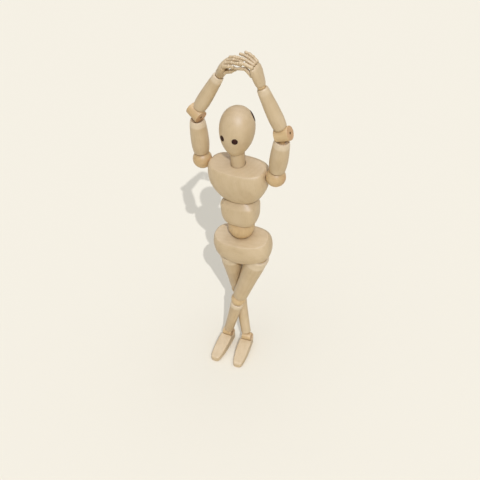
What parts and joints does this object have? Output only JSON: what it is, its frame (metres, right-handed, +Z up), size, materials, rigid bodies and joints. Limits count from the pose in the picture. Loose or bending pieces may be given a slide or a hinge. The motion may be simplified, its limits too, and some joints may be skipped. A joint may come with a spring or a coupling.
{
  "type": "jointed artist mannequin",
  "caption": "Jointed wooden drawing figure with egg head, turned limbs, ball and drum joints and articulated hands, posed standing with crossed legs and arms arched overhead.",
  "frame": {"origin": "on the floor, under the middle of the figure's bounding box", "axes": "+Z up, the pelvis faces -Y, the figure's left side is +X"},
  "size_m": [0.094, 0.0558, 0.3495],
  "materials": {
    "pale_wood": "satin",
    "joint_wood": "satin",
    "dark_inlay": "satin",
    "steel": "plain"
  },
  "bodies": {
    "pelvis": {"pelvis": "pale_wood"},
    "waist_ball": {"waist_ball": "joint_wood"},
    "abdomen": {"abdomen": "pale_wood", "trunk_spring": "steel"},
    "chest": {"chest": "pale_wood"},
    "neck": {"neck": "pale_wood", "neck_spring": "steel"},
    "head": {"head": "pale_wood", "eyes": "dark_inlay", "crown_plug": "dark_inlay"},
    "shoulder_ball_right": {"shoulder_ball_right": "joint_wood"},
    "upper_arm_right": {"upper_arm_right": "pale_wood", "arm_spring_right": "steel"},
    "elbow_drum_right": {"elbow_drum_right": "joint_wood", "elbow_pin_right": "steel"},
    "forearm_right": {"forearm_right": "pale_wood", "forearm_spring_right": "steel"},
    "wrist_ball_right": {"wrist_ball_right": "joint_wood"},
    "palm_right": {"palm_right": "pale_wood"},
    "shoulder_ball_left": {"shoulder_ball_left": "joint_wood"},
    "upper_arm_left": {"upper_arm_left": "pale_wood", "arm_spring_left": "steel"},
    "elbow_drum_left": {"elbow_drum_left": "joint_wood", "elbow_pin_left": "steel"},
    "forearm_left": {"forearm_left": "pale_wood", "forearm_spring_left": "steel"},
    "wrist_ball_left": {"wrist_ball_left": "joint_wood"},
    "palm_left": {"palm_left": "pale_wood"},
    "hip_ball_right": {"hip_ball_right": "joint_wood"},
    "knee_ball_right": {"knee_ball_right": "joint_wood"},
    "shin_right": {"shin_right": "pale_wood"},
    "foot_right": {"foot_right": "pale_wood"},
    "thigh_right": {"thigh_right": "pale_wood", "thigh_spring_right": "steel"},
    "ankle_block_right": {"ankle_block_right": "joint_wood", "ankle_pin_right": "steel"},
    "hip_ball_left": {"hip_ball_left": "joint_wood"},
    "knee_ball_left": {"knee_ball_left": "joint_wood"},
    "shin_left": {"shin_left": "pale_wood"},
    "foot_left": {"foot_left": "pale_wood"},
    "thigh_left": {"thigh_left": "pale_wood", "thigh_spring_left": "steel"},
    "ankle_block_left": {"ankle_block_left": "joint_wood", "ankle_pin_left": "steel"},
    "thumb_right": {"thumb_right": "pale_wood"},
    "index_finger_right": {"index_finger_right": "pale_wood"},
    "middle_finger_right": {"middle_finger_right": "pale_wood"},
    "ring_finger_right": {"ring_finger_right": "pale_wood"},
    "little_finger_right": {"little_finger_right": "pale_wood"},
    "thumb_left": {"thumb_left": "pale_wood"},
    "index_finger_left": {"index_finger_left": "pale_wood"},
    "middle_finger_left": {"middle_finger_left": "pale_wood"},
    "ring_finger_left": {"ring_finger_left": "pale_wood"},
    "little_finger_left": {"little_finger_left": "pale_wood"}
  },
  "joints": [
    {"name": "waist_turn", "type": "hinge", "parent": "pelvis", "child": "waist_ball", "pos_m": [-0.00015, -0.00419, 0.1742], "axis": [-0.0819, 0, 0.9966], "range_deg": [-30, 30]},
    {"name": "waist_bend", "type": "hinge", "parent": "waist_ball", "child": "abdomen", "pos_m": [-0.00015, -0.00419, 0.1742], "axis": [0.9966, 0, 0.0819], "range_deg": [-15, 20]},
    {"name": "chest_lean", "type": "hinge", "parent": "abdomen", "child": "chest", "pos_m": [-0.00057, -0.0045, 0.18619], "axis": [0.0436, 0.9987, 0.0277], "range_deg": [-10, 10]},
    {"name": "neck_turn", "type": "hinge", "parent": "chest", "child": "neck", "pos_m": [-0.00245, -0.00592, 0.24014], "axis": [-0.0522, -0.0299, 0.9982], "range_deg": [-45, 45]},
    {"name": "head_nod", "type": "hinge", "parent": "neck", "child": "head", "pos_m": [-0.00324, -0.00636, 0.25511], "axis": [0.9834, -0.1752, 0.0462], "range_deg": [-10, 20]},
    {"name": "shoulder_swing_right", "type": "hinge", "parent": "chest", "child": "shoulder_ball_right", "pos_m": [-0.03724, -0.0028, 0.2375], "axis": [0.9956, -0.0881, 0.0324], "range_deg": [-15, 110]},
    {"name": "shoulder_raise_right", "type": "hinge", "parent": "shoulder_ball_right", "child": "upper_arm_right", "pos_m": [-0.03724, -0.0028, 0.2375], "axis": [-0.0871, -0.9958, -0.0291], "range_deg": [-5, 80]},
    {"name": "elbow_twist_right", "type": "hinge", "parent": "upper_arm_right", "child": "elbow_drum_right", "pos_m": [-0.03888, -0.00754, 0.28524], "axis": [-0.034, -0.0988, 0.9945], "range_deg": [-40, 50]},
    {"name": "elbow_bend_right", "type": "hinge", "parent": "elbow_drum_right", "child": "forearm_right", "pos_m": [-0.03888, -0.00754, 0.28524], "axis": [0.828, -0.3686, -0.4226], "range_deg": [-40, 45]},
    {"name": "wrist_turn_right", "type": "hinge", "parent": "forearm_right", "child": "wrist_ball_right", "pos_m": [-0.01771, -0.00698, 0.32266], "axis": [0.4923, 0.0129, 0.8704], "range_deg": [-25, 25]},
    {"name": "wrist_bend_right", "type": "hinge", "parent": "wrist_ball_right", "child": "palm_right", "pos_m": [-0.01771, -0.00698, 0.32266], "axis": [0.1552, 0.9527, 0.2613], "range_deg": [-18, 18]},
    {"name": "shoulder_swing_left", "type": "hinge", "parent": "chest", "child": "shoulder_ball_left", "pos_m": [0.03245, -0.00896, 0.23977], "axis": [0.9956, -0.0881, 0.0324], "range_deg": [0, 110]},
    {"name": "shoulder_raise_left", "type": "hinge", "parent": "shoulder_ball_left", "child": "upper_arm_left", "pos_m": [0.03245, -0.00896, 0.23977], "axis": [0.0871, 0.9958, 0.0291], "range_deg": [0, 80]},
    {"name": "elbow_twist_left", "type": "hinge", "parent": "upper_arm_left", "child": "elbow_drum_left", "pos_m": [0.03921, -0.01572, 0.28681], "axis": [-0.141, 0.141, -0.9799], "range_deg": [-40, 50]},
    {"name": "elbow_bend_left", "type": "hinge", "parent": "elbow_drum_left", "child": "forearm_left", "pos_m": [0.03921, -0.01572, 0.28681], "axis": [0.9183, -0.0642, 0.3907], "range_deg": [0, 45]},
    {"name": "wrist_turn_left", "type": "hinge", "parent": "forearm_left", "child": "wrist_ball_left", "pos_m": [0.02132, -0.01888, 0.32578], "axis": [0.4162, 0.0734, -0.9063], "range_deg": [-25, 18]},
    {"name": "wrist_bend_left", "type": "hinge", "parent": "wrist_ball_left", "child": "palm_left", "pos_m": [0.02132, -0.01888, 0.32578], "axis": [0, -1, 0], "range_deg": [-18, 8]},
    {"name": "hip_turn_right", "type": "hinge", "parent": "pelvis", "child": "hip_ball_right", "pos_m": [-0.01094, -0.00419, 0.13829], "axis": [0.1271, 0, 0.9919], "range_deg": [0, 35]},
    {"name": "hip_swing_right", "type": "hinge", "parent": "hip_ball_right", "child": "thigh_right", "pos_m": [-0.01094, -0.00419, 0.13829], "axis": [0.9966, 0, 0.0819], "range_deg": [0, 14]},
    {"name": "knee_bend_right", "type": "hinge", "parent": "thigh_right", "child": "knee_ball_right", "pos_m": [-0.01271, 0.02044, 0.06896], "axis": [0.969, 0.0579, 0.2401], "range_deg": [0, 40]},
    {"name": "knee_turn_right", "type": "hinge", "parent": "knee_ball_right", "child": "shin_right", "pos_m": [-0.01271, 0.02044, 0.06896], "axis": [-0.2469, 0.2271, 0.9421], "range_deg": [-22, 40]},
    {"name": "ankle_turn_right", "type": "hinge", "parent": "shin_right", "child": "ankle_block_right", "pos_m": [0.00196, 0.00695, 0.013], "axis": [0.2469, -0.2271, -0.9421], "range_deg": [-35, 22]},
    {"name": "ankle_pitch_right", "type": "hinge", "parent": "ankle_block_right", "child": "foot_right", "pos_m": [0.00196, 0.00695, 0.013], "axis": [0.9986, 0.0523, 0], "range_deg": [-20, 20]},
    {"name": "hip_turn_left", "type": "hinge", "parent": "pelvis", "child": "hip_ball_left", "pos_m": [0.01636, -0.00419, 0.14054], "axis": [-0.2874, 0, 0.9578], "range_deg": [0, 35]},
    {"name": "hip_swing_left", "type": "hinge", "parent": "hip_ball_left", "child": "thigh_left", "pos_m": [0.01636, -0.00419, 0.14054], "axis": [-0.9966, 0, -0.0819], "range_deg": [0, 18]},
    {"name": "knee_bend_left", "type": "hinge", "parent": "thigh_left", "child": "knee_ball_left", "pos_m": [-0.00587, 0.00256, 0.0707], "axis": [-0.9736, -0.0152, 0.228], "range_deg": [0, 40]},
    {"name": "knee_turn_left", "type": "hinge", "parent": "knee_ball_left", "child": "shin_left", "pos_m": [-0.00587, 0.00256, 0.0707], "axis": [-0.2285, 0.0646, -0.9714], "range_deg": [-18, 40]},
    {"name": "ankle_turn_left", "type": "hinge", "parent": "shin_left", "child": "ankle_block_left", "pos_m": [-0.01944, 0.0064, 0.013], "axis": [0.2285, -0.0646, 0.9714], "range_deg": [-35, 18]},
    {"name": "ankle_pitch_left", "type": "hinge", "parent": "ankle_block_left", "child": "foot_left", "pos_m": [-0.01944, 0.0064, 0.013], "axis": [0.9981, -0.061, 0], "range_deg": [-20, 20]},
    {"name": "thumb_knuckle_right", "type": "hinge", "parent": "palm_right", "child": "thumb_right", "pos_m": [-0.01043, -0.01407, 0.32963], "axis": [0.1552, 0.9527, 0.2613], "range_deg": [-10, 10]},
    {"name": "index_finger_knuckle_right", "type": "hinge", "parent": "palm_right", "child": "index_finger_right", "pos_m": [-0.00991, -0.01768, 0.33579], "axis": [0.1552, 0.9527, 0.2613], "range_deg": [-10, 7.5]},
    {"name": "middle_finger_knuckle_right", "type": "hinge", "parent": "palm_right", "child": "middle_finger_right", "pos_m": [-0.0091, -0.01431, 0.33717], "axis": [0.1552, 0.9527, 0.2613], "range_deg": [-10, 15]},
    {"name": "ring_finger_knuckle_right", "type": "hinge", "parent": "palm_right", "child": "ring_finger_right", "pos_m": [-0.00857, -0.01075, 0.33806], "axis": [0.1552, 0.9527, 0.2613], "range_deg": [-10, 16]},
    {"name": "little_finger_knuckle_right", "type": "hinge", "parent": "palm_right", "child": "little_finger_right", "pos_m": [-0.00813, -0.00736, 0.33881], "axis": [0.1552, 0.9527, 0.2613], "range_deg": [-10, 16]},
    {"name": "thumb_knuckle_left", "type": "hinge", "parent": "palm_left", "child": "thumb_left", "pos_m": [0.01488, -0.02268, 0.33557], "axis": [0, -1, 0], "range_deg": [-10, 10]},
    {"name": "index_finger_knuckle_left", "type": "hinge", "parent": "palm_left", "child": "index_finger_left", "pos_m": [0.01523, -0.02443, 0.34251], "axis": [0, -1, 0], "range_deg": [-10, 13]},
    {"name": "middle_finger_knuckle_left", "type": "hinge", "parent": "palm_left", "child": "middle_finger_left", "pos_m": [0.01506, -0.02073, 0.34298], "axis": [0, -1, 0], "range_deg": [-10, 16]},
    {"name": "ring_finger_knuckle_left", "type": "hinge", "parent": "palm_left", "child": "ring_finger_left", "pos_m": [0.01509, -0.01703, 0.34288], "axis": [0, -1, 0], "range_deg": [-10, 16]},
    {"name": "little_finger_knuckle_left", "type": "hinge", "parent": "palm_left", "child": "little_finger_left", "pos_m": [0.01516, -0.01353, 0.3427], "axis": [0, -1, 0], "range_deg": [-10, 16]}
  ]
}
